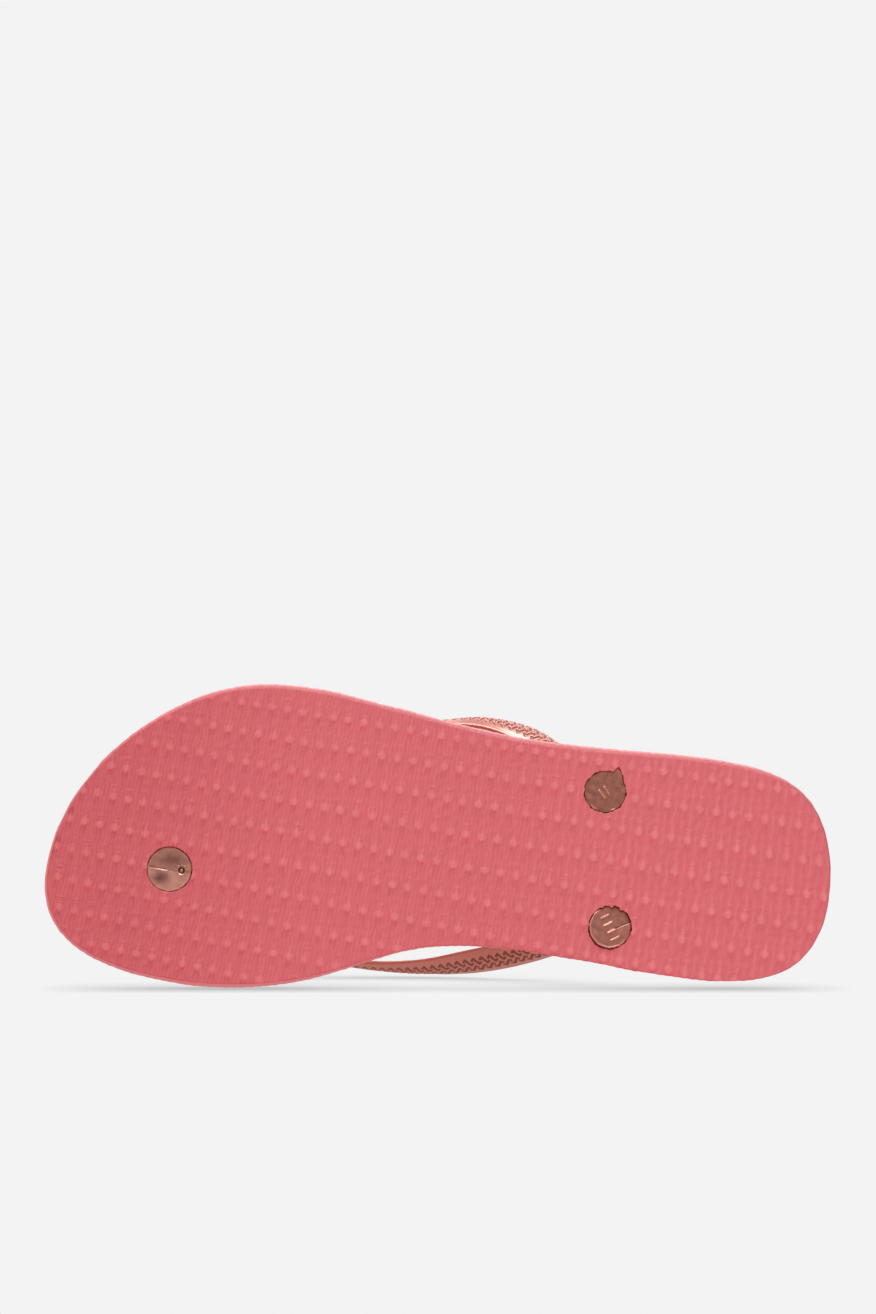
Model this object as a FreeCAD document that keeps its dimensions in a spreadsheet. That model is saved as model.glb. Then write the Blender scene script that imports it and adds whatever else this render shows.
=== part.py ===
"""A left flip flop: a two-layer rubber sole and a Y-shaped strap held by three plugs.

Frame, in millimetres: +Z up with the ground face at z = 0, the toe towards -Y, the lateral
(little toe) side towards +X, and the origin at the middle of the footprint.

The outsole meets the ground and the footbed is bonded on top of it. The strap is a toe post
between the toes and an arm to each side of the foot. It ends in three mushroom plugs, whose stems
pass down through the sole and whose heads sit in recesses in the ground face. The heads are wider
than the holes. The stems are longer than the sole is thick, so the strap can be pushed down by
the seat travel, until its heads stand proud of the ground face.
"""
import FreeCAD, Part
import math
import os
import Sketcher

Vector = FreeCAD.Vector
UP = Vector(0, 0, 1)

# Driving dimensions in millimetres and degrees: alias, value, meaning.
DIMENSIONS = [
    ("sole_length", 264.0, "toe end to heel end"),
    ("ball_width", 101.0, "widest part of the outsole"),
    ("outsole_thick", 5.0, "lower rubber layer"),
    ("footbed_thick", 9.0, "upper rubber layer"),
    ("footbed_round", 1.2, "rounding of the upper edge"),
    ("toe_across", -12.6, "toe hole from the centre line"),
    ("toe_along", -90.3, "toe hole from the middle of the sole"),
    ("lateral_across", 20.2, "lateral hole from the centre line"),
    ("lateral_along", 54.6, "lateral hole from the middle of the sole"),
    ("medial_across", -25.2, "medial hole from the centre line"),
    ("medial_along", 58.4, "medial hole from the middle of the sole"),
    ("stem_radius", 3.25, "plug stems"),
    ("stem_clearance", 0.05, "radial clearance of a stem in its hole"),
    ("toe_head_radius", 7.5, "head of the toe plug"),
    ("lateral_head_radius", 7.0, "head of the lateral plug"),
    ("medial_head_radius", 7.0, "head of the medial plug"),
    ("head_clearance", 0.35, "radial clearance of a head in its recess"),
    ("recess_depth", 3.6, "recesses in the ground face"),
    ("seat_gap", 0.1, "head to the roof of its recess at rest"),
    ("toe_sunk", 0.9, "rim of the toe head above the ground face"),
    ("toe_dish", 0.8, "depth of the conical dish in the toe head"),
    ("lateral_sunk", 0.6, "lateral head above the ground face"),
    ("medial_head_thick", 1.9, "head of the medial plug"),
    ("medial_tilt", 6.0, "tilt of the medial head, low to the toe and the medial side"),
    ("seat_travel", 1.2, "how far the strap can be pushed down"),
    ("shoulder_gap", 0.3, "shoulder to footbed when pushed down"),
    ("post_waist_radius", 2.9, "toe post at its narrowest"),
    ("post_foot_radius", 4.4, "shoulder at the foot of the toe post"),
    ("post_head_radius", 6.6, "where the toe post spreads into the arms"),
    ("post_top", 35.2, "top of the toe post above the ground"),
    ("post_dome", 2.2, "rise of the dome on the toe post"),
    ("shoulder_thick", 1.2, "shoulder at the foot of the toe post"),
    ("arm_foot_radius", 4.4, "shoulder at the lower end of each arm"),
    ("arm_neck_radius", 3.2, "top of that shoulder"),
    ("arm_foot_height", 3.2, "height of that shoulder"),
]

# Control points of the outsole's outline, a closed uniform cubic B-spline: its share of the ball
# width across (lateral is plus) and of the sole length along (heel is plus), then how far the
# footbed's edge stands outside the outsole's there, in millimetres.
OUTLINE = [
    (-0.307, -0.023, 0.4),
    (-0.485, -0.148, 1.2),
    (-0.525, -0.333, 1.6),
    (-0.366, -0.530, 1.2),
    (0.188, -0.473, 0.3),
    (0.495, -0.307, 0.3),
    (0.515, -0.174, 0.3),
    (0.376, 0.027, 0.4),
    (0.327, 0.178, 0.4),
    (0.327, 0.409, 0.4),
    (0.158, 0.508, 0.3),
    (-0.446, 0.500, 0.3),
    (-0.406, 0.273, 0.3),
    (-0.356, 0.174, 0.3),
]

# Each arm from its rear plug to the toe post: the middle of the band, its width and thickness,
# and how far its outer face looks up (down is minus), in millimetres and degrees.
LATERAL_ARM = [
    ((20.7, 53.8, 18.6), 6.2, 5.0, -10),
    ((23.7, 49.6, 23.0), 7.4, 4.6, -18),
    ((30.2, 40.5, 29.0), 9.2, 3.6, -28),
    ((36.1, 29.0, 35.5), 10.6, 3.2, -31),
    ((39.4, 14.0, 41.0), 10.8, 3.2, -9),
    ((36.9, -4.0, 45.0), 10.6, 3.2, 19),
    ((31.4, -24.0, 46.0), 10.2, 3.2, 30),
    ((22.6, -45.0, 44.0), 9.6, 3.2, 40),
    ((10.6, -66.0, 40.0), 8.8, 3.3, 58),
    ((-2.5, -82.0, 35.6), 7.8, 3.6, 76),
    ((-11.0, -88.6, 33.0), 6.6, 3.6, 88),
]
MEDIAL_ARM = [
    ((-25.7, 57.6, 18.6), 6.2, 5.0, -10),
    ((-29.6, 52.6, 23.0), 7.4, 4.6, -26),
    ((-34.0, 42.5, 29.0), 9.8, 3.6, -48),
    ((-38.7, 29.0, 35.5), 11.3, 3.2, -54),
    ((-42.9, 14.0, 40.0), 11.2, 3.2, -50),
    ((-46.1, -4.0, 43.5), 10.2, 3.2, -28),
    ((-45.9, -23.0, 44.5), 9.6, 3.2, -4),
    ((-42.3, -44.0, 43.5), 9.4, 3.2, 22),
    ((-33.2, -64.0, 40.0), 8.8, 3.3, 48),
    ((-21.0, -81.0, 35.6), 7.8, 3.6, 72),
    ((-14.0, -88.6, 33.0), 6.6, 3.6, 88),
]
EDGE_SHARE = 0.55  # thickness of a band at its two edges, as a share of its middle
DOME_OUT = 0.6     # a point of the post's dome: share of the head's radius out from the axis,
DOME_DOWN = 0.3    # and share of the dome's height below its top
NEAR = 0.01        # slack in millimetres when edges are picked by their height
HOLES = ("toe", "lateral", "medial")


def make_sheet(doc):
    """The spreadsheet of driving dimensions: a meaning and an aliased value in each row."""
    sheet = doc.addObject("Spreadsheet::Sheet", "Dimensions")
    for row, (alias, value, meaning) in enumerate(DIMENSIONS, start=1):
        sheet.set(f"A{row}", meaning)
        sheet.set(f"B{row}", str(value))
        sheet.setAlias(f"B{row}", alias)
    doc.recompute()
    return sheet


def bind(target, **cells):
    """Bind each property, its dots written as double underscores, to a formula of the sheet."""
    for name, formula in cells.items():
        target.setExpression(name.replace("__", "."), formula)


def formula(*terms):
    """Cells of the sheet added up. A leading minus takes a cell away."""
    text = ""
    for term in terms:
        sign = "-" if term.startswith("-") else "+"
        text += f" {sign} Dimensions.{term.lstrip('-')}"
    return text.removeprefix(" +").strip()


# ---------------------------------------------------------------- sketches


def new_body(doc, label):
    body = doc.addObject("PartDesign::Body", label)
    body.Label = label
    return body


def new_sketch(body, name, role, height=None):
    """A sketch on one of the body's own origin planes, raised by a formula of the sheet."""
    sketch = body.newObject("Sketcher::SketchObject", name)
    plane = next(f for f in body.Origin.OriginFeatures if f.Role == role)
    sketch.AttachmentSupport = (plane, [""])
    sketch.MapMode = "FlatFace"
    if height:
        sketch.setExpression("AttachmentOffset.Base.z", height)
    return sketch


def add_outline(sketch, sheet, flare):
    """The closed outline, moved outwards by flare times each point's footbed margin."""
    points = [
        Vector(across * sheet.ball_width, along * sheet.sole_length, 0)
        for across, along, _ in OUTLINE
    ]
    moved = []
    for i, point in enumerate(points):
        tangent = points[(i + 1) % len(points)] - points[i - 1]
        outwards = Vector(tangent.y, -tangent.x, 0).normalize()
        moved.append(point + outwards * (OUTLINE[i][2] * flare))
    curve = Part.BSplineCurve()
    knots = list(range(len(moved) + 1))
    curve.buildFromPolesMultsKnots(moved, [1] * len(knots), knots, True, 3)
    sketch.addGeometry(curve, False)


def add_hole_circles(sketch, sheet, radius_terms):
    """A circle round each of the three holes, its place and radius bound to the sheet."""
    for hole in HOLES:
        terms = radius_terms[hole]
        across = getattr(sheet, f"{hole}_across")
        along = getattr(sheet, f"{hole}_along")
        radius = sum(getattr(sheet, term) for term in terms)
        circle = sketch.addGeometry(Part.Circle(Vector(across, along, 0), UP, radius), False)
        for kind, ends, value, text in (
            ("Radius", (circle,), radius, formula(*terms)),
            ("DistanceX", (-1, 1, circle, 3), across, formula(f"{hole}_across")),
            ("DistanceY", (-1, 1, circle, 3), along, formula(f"{hole}_along")),
        ):
            constraint = sketch.addConstraint(Sketcher.Constraint(kind, *ends, value))
            sketch.setExpression(f"Constraints[{constraint}]", text)


# ---------------------------------------------------------------- sole


def pad_outline(doc, sheet, label, flare, height, thickness):
    """A slab of the sole's outline."""
    body = new_body(doc, label)
    sketch = new_sketch(body, f"{label}_outline", "XY_Plane", height)
    add_outline(sketch, sheet, flare)
    slab = body.newObject("PartDesign::Pad", f"{label}_slab")
    slab.Profile = sketch
    bind(slab, Length=thickness)
    doc.recompute()
    return body, slab


def cut_circles(doc, sheet, body, name, radius_terms, height=None, depth=None):
    """Pockets cut upwards from the given height: to the given depth, or right through."""
    sketch = new_sketch(body, f"{name}_circles", "XY_Plane", height)
    add_hole_circles(sketch, sheet, radius_terms)
    before = body.Shape.Volume
    pocket = body.newObject("PartDesign::Pocket", name)
    pocket.Profile = sketch
    pocket.Reversed = True
    if depth:
        bind(pocket, Length=depth)
    else:
        pocket.Type = "ThroughAll"
    doc.recompute()
    if body.Shape.Volume >= before:
        raise RuntimeError(f"{name} cut nothing")


def stem_hole_radii():
    return {hole: ("stem_radius", "stem_clearance") for hole in HOLES}


def head_recess_radii():
    return {hole: (f"{hole}_head_radius", "head_clearance") for hole in HOLES}


def make_outsole(doc, sheet):
    """The lower layer, with a stem hole and a head recess at each plug."""
    body, _ = pad_outline(doc, sheet, "outsole", 0, None, formula("outsole_thick"))
    cut_circles(doc, sheet, body, "stem_holes", stem_hole_radii())
    cut_circles(doc, sheet, body, "head_recesses", head_recess_radii(),
                depth=formula("recess_depth"))
    return body


def make_footbed(doc, sheet):
    """The upper layer, rounded along its upper edge, with the three stem holes."""
    bottom = formula("outsole_thick")
    body, slab = pad_outline(doc, sheet, "footbed", 1, bottom, formula("footbed_thick"))
    top = sheet.outsole_thick + sheet.footbed_thick
    rim = [
        f"Edge{i}"
        for i, edge in enumerate(slab.Shape.Edges, start=1)
        if edge.BoundBox.ZMin > top - NEAR
    ]
    rounding = body.newObject("PartDesign::Fillet", "footbed_rounding")
    rounding.Base = (slab, rim)
    bind(rounding, Radius=formula("footbed_round"))
    doc.recompute()
    cut_circles(doc, sheet, body, "footbed_stem_holes", stem_hole_radii(), height=bottom)
    return body


# ---------------------------------------------------------------- plugs


def shoulder_height(sheet):
    """Underside of the strap's shoulders at rest: clear of the footbed after the travel."""
    footbed_top = sheet.outsole_thick + sheet.footbed_thick
    return footbed_top + sheet.seat_travel + sheet.shoulder_gap


def make_round_plug(doc, sheet, label, hole, sunk, dish):
    """A mushroom plug turned about its stem: a head, dished from below, and a stem above it."""
    body = new_body(doc, label)
    sketch = new_sketch(body, f"{label}_profile", "XZ_Plane")
    head = getattr(sheet, f"{hole}_head_radius")
    seat = sheet.recess_depth - sheet.seat_gap
    top = shoulder_height(sheet)
    profile = [
        (0, sunk + dish),
        (head, sunk),
        (head, seat),
        (sheet.stem_radius, seat),
        (sheet.stem_radius, top),
        (0, top),
    ]
    lines = []
    for i, (radius, height) in enumerate(profile):
        next_radius, next_height = profile[(i + 1) % len(profile)]
        start = Vector(radius, height, 0)
        end = Vector(next_radius, next_height, 0)
        lines.append(sketch.addGeometry(Part.LineSegment(start, end), False))
    for i, line in enumerate(lines):
        following = lines[(i + 1) % len(lines)]
        sketch.addConstraint(Sketcher.Constraint("Coincident", line, 2, following, 1))
    turned = body.newObject("PartDesign::Revolution", f"{label}_turned")
    turned.Profile = sketch
    turned.ReferenceAxis = (sketch, ["V_Axis"])
    turned.Angle = 360
    bind(body, Placement__Base__x=formula(f"{hole}_across"),
         Placement__Base__y=formula(f"{hole}_along"))
    return body


def make_medial_plug(doc, sheet):
    """A plug whose thin head has settled askew, low to the toe and the medial side."""
    seat = sheet.recess_depth - sheet.seat_gap
    tilt = math.radians(sheet.medial_tilt)
    centre = seat - sheet.medial_head_radius * math.sin(tilt)
    place = Vector(sheet.medial_across, sheet.medial_along, 0)

    head = doc.addObject("Part::Cylinder", "medial_head")
    bind(head, Radius=formula("medial_head_radius"), Height=formula("medial_head_thick"))
    lean = FreeCAD.Rotation(Vector(1, -1, 0), sheet.medial_tilt)
    sunk_middle = lean.multVec(UP) * sheet.medial_head_thick
    head.Placement = FreeCAD.Placement(place + UP * centre - sunk_middle, lean)

    stem = doc.addObject("Part::Cylinder", "medial_stem")
    stem_bottom = centre - sheet.medial_head_thick / 2
    bind(stem, Radius=formula("stem_radius"))
    stem.Height = shoulder_height(sheet) - stem_bottom
    stem.Placement.Base = place + UP * stem_bottom

    plug = doc.addObject("Part::MultiFuse", "medial_plug")
    plug.Label = "medial_plug"
    plug.Shapes = [head, stem]
    return plug


# ---------------------------------------------------------------- strap


def band_section(side, middle, along, width, thickness, look_up):
    """A D-shaped section of an arm: a flat inner face, a crowned outer face and round edges."""
    flat = along.cross(UP).normalize()
    if flat.x * side < 0:
        flat = -flat
    rise = (UP - along * along.dot(UP)).normalize()
    level = math.radians(look_up)
    outwards = flat * math.cos(level) + rise * math.sin(level)
    across = rise * math.cos(level) - flat * math.sin(level)
    half = width / 2
    inner = -thickness / 2
    edge = thickness * EDGE_SHARE / 2

    def at(sideways, out):
        return middle + across * sideways + outwards * out

    lower_inner = at(edge - half, inner)
    upper_inner = at(half - edge, inner)
    upper_outer = at(half - edge, inner + 2 * edge)
    lower_outer = at(edge - half, inner + 2 * edge)
    return Part.Wire([
        Part.LineSegment(lower_inner, upper_inner).toShape(),
        Part.Arc(upper_inner, at(half, inner + edge), upper_outer).toShape(),
        Part.Arc(upper_outer, at(0, thickness / 2), lower_outer).toShape(),
        Part.Arc(lower_outer, at(-half, inner + edge), lower_inner).toShape(),
    ])


def make_arm(doc, name, side, stations):
    """A smooth loft through the arm's sections."""
    middles = [Vector(*station[0]) for station in stations]
    sections = []
    for i, (_, width, thickness, look_up) in enumerate(stations):
        before = middles[max(i - 1, 0)]
        after = middles[min(i + 1, len(middles) - 1)]
        along = (after - before).normalize()
        section = doc.addObject("Part::Feature", f"{name}_section_{i + 1}")
        section.Shape = band_section(side, middles[i], along, width, thickness, look_up)
        sections.append(section)
    arm = doc.addObject("Part::Loft", name)
    arm.Sections = sections
    arm.Solid = True
    arm.Ruled = False
    return arm


def make_toe_post(doc, sheet):
    """The post between the toes, turned: a shoulder, a waist and a broad head with a low dome."""
    body = new_body(doc, "toe_post")
    sketch = new_sketch(body, "toe_post_profile", "XZ_Plane")
    bottom = shoulder_height(sheet)
    rim = sheet.post_top - sheet.post_dome
    waist = (bottom + rim) / 2
    foot = Vector(sheet.post_foot_radius, bottom, 0)
    foot_top = foot + Vector(0, sheet.shoulder_thick, 0)
    head_rim = Vector(sheet.post_head_radius, rim, 0)
    top = Vector(0, sheet.post_top, 0)
    flank = Part.BSplineCurve()
    flank.interpolate([foot_top, Vector(sheet.post_waist_radius, waist, 0), head_rim])
    dome_middle = Vector(sheet.post_head_radius * DOME_OUT, sheet.post_top - sheet.post_dome * DOME_DOWN, 0)
    edges = [
        Part.LineSegment(Vector(0, bottom, 0), foot),
        Part.LineSegment(foot, foot_top),
        flank,
        Part.Arc(head_rim, dome_middle, top),
        Part.LineSegment(top, Vector(0, bottom, 0)),
    ]
    for edge in edges:
        sketch.addGeometry(edge, False)
    turned = body.newObject("PartDesign::Revolution", "toe_post_turned")
    turned.Profile = sketch
    turned.ReferenceAxis = (sketch, ["V_Axis"])
    turned.Angle = 360
    bind(body, Placement__Base__x=formula("toe_across"),
         Placement__Base__y=formula("toe_along"))
    return body


def make_shoulder(doc, sheet, hole):
    """The collar at the lower end of an arm, round the top of its plug's stem."""
    collar = doc.addObject("Part::Cone", f"{hole}_shoulder")
    collar.Placement.Base.z = shoulder_height(sheet)
    bind(collar, Radius1=formula("arm_foot_radius"), Radius2=formula("arm_neck_radius"),
         Height=formula("arm_foot_height"),
         Placement__Base__x=formula(f"{hole}_across"),
         Placement__Base__y=formula(f"{hole}_along"))
    return collar


def make_strap(doc, sheet):
    """The two arms joined over the toe post, down to the tops of the three stems."""
    strap = doc.addObject("Part::MultiFuse", "strap")
    strap.Label = "strap"
    strap.Shapes = [
        make_arm(doc, "lateral_arm", 1, LATERAL_ARM),
        make_arm(doc, "medial_arm", -1, MEDIAL_ARM),
        make_toe_post(doc, sheet),
        make_shoulder(doc, sheet, "lateral"),
        make_shoulder(doc, sheet, "medial"),
    ]
    return strap


# ---------------------------------------------------------------- document


def check(doc, parts):
    """Stop if any object failed to recompute, or a part is null, invalid or in pieces."""
    for item in doc.Objects:
        if {"Invalid", "Error"} & set(item.State):
            raise RuntimeError(f"{item.Label} failed: {item.State}")
    for item in parts:
        shape = item.Shape
        if shape.isNull() or not shape.isValid() or len(shape.Solids) != 1:
            raise RuntimeError(f"{item.Label} has a bad shape")


def main():
    doc = FreeCAD.newDocument("flip_flop")
    sheet = make_sheet(doc)
    parts = [
        make_outsole(doc, sheet),
        make_footbed(doc, sheet),
        make_round_plug(doc, sheet, "toe_plug", "toe", sheet.toe_sunk, sheet.toe_dish),
        make_round_plug(doc, sheet, "lateral_plug", "lateral", sheet.lateral_sunk, 0),
        make_medial_plug(doc, sheet),
        make_strap(doc, sheet),
    ]
    doc.recompute()
    check(doc, parts)
    os.makedirs("parts", exist_ok=True)
    for item in parts:
        item.Shape.exportStep(f"parts/{item.Label}.step")
        box = item.Shape.BoundBox
        print(f"{item.Label}: {item.Shape.Volume / 1000:.2f} cm3, "
              f"x {box.XMin:.1f} to {box.XMax:.1f}, y {box.YMin:.1f} to {box.YMax:.1f}, "
              f"z {box.ZMin:.2f} to {box.ZMax:.2f}")


main()
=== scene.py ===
"""The looks of a left flip flop: a ribbed coral rubber sole and a rose gold vinyl strap.

Everything is in metres in the CAD frame: the ground face is z = 0, the toe points to -Y and the
lateral side is +X. The sole is seen from below, standing on its medial edge. Lengths named in
millimetres are multiplied by MM where they are used.
"""
import math

import bmesh
import bpy
import numpy as np
from mathutils import Matrix, Vector


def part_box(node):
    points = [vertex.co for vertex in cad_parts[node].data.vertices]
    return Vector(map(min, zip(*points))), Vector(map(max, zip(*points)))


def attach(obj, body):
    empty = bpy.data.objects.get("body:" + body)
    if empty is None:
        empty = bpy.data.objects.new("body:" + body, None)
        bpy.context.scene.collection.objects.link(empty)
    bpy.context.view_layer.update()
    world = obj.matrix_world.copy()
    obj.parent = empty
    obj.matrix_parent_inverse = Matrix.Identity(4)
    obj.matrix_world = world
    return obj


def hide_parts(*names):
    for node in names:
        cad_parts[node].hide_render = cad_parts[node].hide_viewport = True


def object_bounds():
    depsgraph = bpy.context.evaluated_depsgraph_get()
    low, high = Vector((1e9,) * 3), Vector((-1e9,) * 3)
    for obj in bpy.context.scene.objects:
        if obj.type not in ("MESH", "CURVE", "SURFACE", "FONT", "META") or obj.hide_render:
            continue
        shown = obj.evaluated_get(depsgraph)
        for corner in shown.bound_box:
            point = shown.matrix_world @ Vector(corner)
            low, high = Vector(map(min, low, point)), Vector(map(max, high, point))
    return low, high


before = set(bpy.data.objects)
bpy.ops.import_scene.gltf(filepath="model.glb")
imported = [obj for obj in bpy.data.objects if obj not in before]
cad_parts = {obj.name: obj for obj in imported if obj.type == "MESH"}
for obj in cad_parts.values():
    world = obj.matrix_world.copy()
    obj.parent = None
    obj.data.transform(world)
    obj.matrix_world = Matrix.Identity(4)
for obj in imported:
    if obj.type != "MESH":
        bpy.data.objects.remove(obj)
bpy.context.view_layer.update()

MM = 0.001

# Direction of the moulded rows along the sole, and the one across them towards the lateral side.
ROW_SLOPE = math.radians(7.94)
ALONG = np.array([-math.sin(ROW_SLOPE), math.cos(ROW_SLOPE)])
ACROSS = np.array([math.cos(ROW_SLOPE), math.sin(ROW_SLOPE)])

SEAM_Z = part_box("outsole")[1].z      # where the sole's two layers meet
TOP_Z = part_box("footbed")[1].z       # the footbed's rim
STRAP_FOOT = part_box("strap")[0].z    # underside of the strap's toe post and collars
RELIEF = 0.45 * MM                   # from the ground face to the bare surface between the dots


def middle(node):
    """The middle of a CAD node's box, in plan."""
    low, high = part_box(node)
    return np.array([(low.x + high.x) / 2, (low.y + high.y) / 2])


PLUGS = {name: middle(name) for name in ("toe_plug", "lateral_plug", "medial_plug")}
PLUG_RADIUS = {"toe_plug": 7.5 * MM, "lateral_plug": 7.0 * MM, "medial_plug": 7.0 * MM}
STEM_RADIUS = 3.25 * MM
STEM_HOLE = 3.3 * MM      # radius of the holes that the stems pass through


# ---- small tools


def smoothstep(low, high, value):
    """0 below low, 1 above high, and a smooth rise between them."""
    part = np.clip((value - low) / (high - low), 0, 1)
    return part * part * (3 - 2 * part)


def bump(distance, radius):
    """1 at distance 0, falling smoothly to 0 at the radius."""
    return 1 - smoothstep(0, radius, np.abs(distance))


def wave_noise(x, y, size, seed, waves=14):
    """Smooth noise between about -1 and 1: sine waves about size long, in random directions."""
    chooser = np.random.default_rng(seed)
    total = np.zeros_like(x)
    for _ in range(waves):
        heading = chooser.uniform(0, 2 * math.pi)
        length = size * chooser.uniform(0.6, 1.6)
        phase = chooser.uniform(0, 2 * math.pi)
        reach = (x * math.cos(heading) + y * math.sin(heading)) / length
        total += np.sin(2 * math.pi * reach + phase)
    return total / math.sqrt(waves * 2)


def cell_noise(index, seed):
    """A fixed random number between 0 and 1 for each whole number in index."""
    mixed = np.sin(index * 12.9898 + seed * 78.233) * 43758.5453
    return mixed - np.floor(mixed)


def new_mesh(name, points, faces):
    """A smooth shaded mesh object from an array of points and a list of arrays of faces."""
    mesh = bpy.data.meshes.new(name)
    rows = [np.asarray(block, dtype=np.int32) for block in faces if len(block)]
    loops = np.concatenate([block.ravel() for block in rows])
    sizes = np.concatenate([np.full(len(block), block.shape[1]) for block in rows])
    mesh.vertices.add(len(points))
    mesh.vertices.foreach_set("co", np.asarray(points, dtype=np.float32).ravel())
    mesh.loops.add(len(loops))
    mesh.loops.foreach_set("vertex_index", loops)
    mesh.polygons.add(len(sizes))
    starts = np.concatenate([[0], np.cumsum(sizes)[:-1]])
    mesh.polygons.foreach_set("loop_start", starts.astype(np.int32))
    mesh.polygons.foreach_set("use_smooth", np.full(len(sizes), True))
    mesh.update(calc_edges=True)
    mesh.validate()
    tidy = bmesh.new()
    tidy.from_mesh(mesh)
    bmesh.ops.recalc_face_normals(tidy, faces=tidy.faces[:])
    tidy.to_mesh(mesh)
    tidy.free()
    piece = bpy.data.objects.new(name, mesh)
    bpy.context.scene.collection.objects.link(piece)
    return piece


def paint(piece, name, values):
    """A float attribute on the piece's points, which its material reads."""
    layer = piece.data.attributes.new(name, "FLOAT", "POINT")
    layer.data.foreach_set("value", np.asarray(values, dtype=np.float32))


def strip(lower, upper):
    """Quads between two closed rings of point numbers of the same length."""
    return np.stack([lower, np.roll(lower, -1), np.roll(upper, -1), upper], axis=1)


def strip_rows(rings):
    """Quads between each ring of point numbers and the next."""
    return np.concatenate([strip(a, b) for a, b in zip(rings[:-1], rings[1:])])


# ---- sole outlines and grids


def outline(node, height, inset):
    """The outer edge of a CAD layer at a height, smoothed, as evenly spaced plan points."""
    tolerance, hole_reach, blur_length, count = 0.02 * MM, 9 * MM, 1.6 * MM, 3000
    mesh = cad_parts[node].data
    points = np.empty(len(mesh.vertices) * 3, dtype=np.float32)
    mesh.vertices.foreach_get("co", points)
    points = points.reshape(-1, 3).astype(float)
    plan = points[np.abs(points[:, 2] - height) < tolerance][:, :2]
    for centre in PLUGS.values():
        plan = plan[np.linalg.norm(plan - centre, axis=1) > hole_reach]
    farthest = {}
    for turn, point in zip(np.round(np.arctan2(plan[:, 1], plan[:, 0]), 4), plan):
        if turn not in farthest or np.linalg.norm(point) > np.linalg.norm(farthest[turn]):
            farthest[turn] = point
    loop = np.array([farthest[turn] for turn in sorted(farthest)])
    steps = np.linalg.norm(np.roll(loop, -1, axis=0) - loop, axis=1)
    travelled = np.concatenate([[0], np.cumsum(steps)])
    even = np.linspace(0, travelled[-1], count, endpoint=False)
    loop = np.vstack([loop, loop[:1]])
    dense = np.stack([np.interp(even, travelled, loop[:, k]) for k in (0, 1)], axis=1)
    spread = blur_length / (travelled[-1] / count)
    blur = np.exp(-0.5 * (np.fft.rfftfreq(count) * 2 * math.pi * spread) ** 2)[:, None]
    dense = np.fft.irfft(np.fft.rfft(dense, axis=0) * blur, n=count, axis=0)
    return dense - inset * outward(dense, 1)


def column_grid(loop, spacing, rows):
    """Plan points that fill an outline: columns across the sole, each divided evenly."""
    along, across = loop @ ALONG, loop @ ACROSS
    first, last, count = int(np.argmin(along)), int(np.argmax(along)), len(loop)
    there = [(first + k) % count for k in range((last - first) % count + 1)]
    back = [(first - k) % count for k in range((first - last) % count + 1)]
    ends = spacing * np.array([0.03, 0.12, 0.3, 0.6])
    inner = np.arange(along[first] + spacing, along[last] - 0.7 * spacing, spacing)
    stations = np.concatenate([along[first] + ends, inner, along[last] - ends[::-1]])
    sides = [np.interp(stations, along[side], across[side]) for side in (there, back)]
    low, high = np.minimum(*sides), np.maximum(*sides)
    share = np.linspace(0, 1, rows)
    level = low[:, None] + (high - low)[:, None] * share
    return stations[:, None, None] * ALONG + level[..., None] * ACROSS


def border(shape):
    """The indices round the outer loop of a grid of this shape."""
    rows, columns = shape
    loop = [(a, 0) for a in range(rows)]
    loop += [(rows - 1, b) for b in range(1, columns)]
    loop += [(a, columns - 1) for a in range(rows - 2, -1, -1)]
    loop += [(0, b) for b in range(columns - 2, 0, -1)]
    return tuple(np.array(loop).T)


def open_hole(points, centre, radius, extra_at):
    """Warp a column grid so that a block of its cells becomes a hole round the centre.

    extra_at gives how far the hole's edge lies outside the radius at an angle. Returns the warped
    points, the mask of the cells to leave out, and the indices round the hole's rim.
    """
    gap = np.linalg.norm(points - centre, axis=2)
    ci, cj = np.unravel_index(int(np.argmin(gap)), gap.shape)
    column_step = np.linalg.norm(points[ci + 1, cj] - points[ci, cj])
    row_step = np.linalg.norm(points[ci, cj + 1] - points[ci, cj])
    hi = int(round(0.9 * radius / column_step))
    hj = int(round(0.9 * radius / row_step))
    i, j = np.meshgrid(np.arange(points.shape[0]), np.arange(points.shape[1]), indexing="ij")
    s, r = (i - ci) / hi, (j - cj) / hj
    ring = np.maximum(np.abs(s), np.abs(r))
    angle = np.arctan2(r, s)
    reach = (radius * ring + extra_at(angle) * (1 - smoothstep(1.0, 1.5, ring)))[..., None]
    heading = np.cos(angle)[..., None] * ALONG + np.sin(angle)[..., None] * ACROSS
    pull = (1 - smoothstep(1.0, 1.7, ring))[..., None]
    warped = points * (1 - pull) + (centre + reach * heading) * pull
    gone = (ring[:-1, :-1] <= 1) & (ring[1:, :-1] <= 1) & (ring[:-1, 1:] <= 1) & (ring[1:, 1:] <= 1)
    a, b = border((2 * hi + 1, 2 * hj + 1))
    return warped, gone, (a + ci - hi, b + cj - hj)


def open_holes(plan, radii, extra_at):
    """Open a hole at every plug, with edges that extra_at(name, angle) makes ragged."""
    gone, rims = False, {}
    for name, centre in PLUGS.items():
        plan, hole, rims[name] = open_hole(
            plan, centre, radii[name], lambda angle: extra_at(name, angle))
        gone = gone | hole
    return plan, gone, rims


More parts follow.
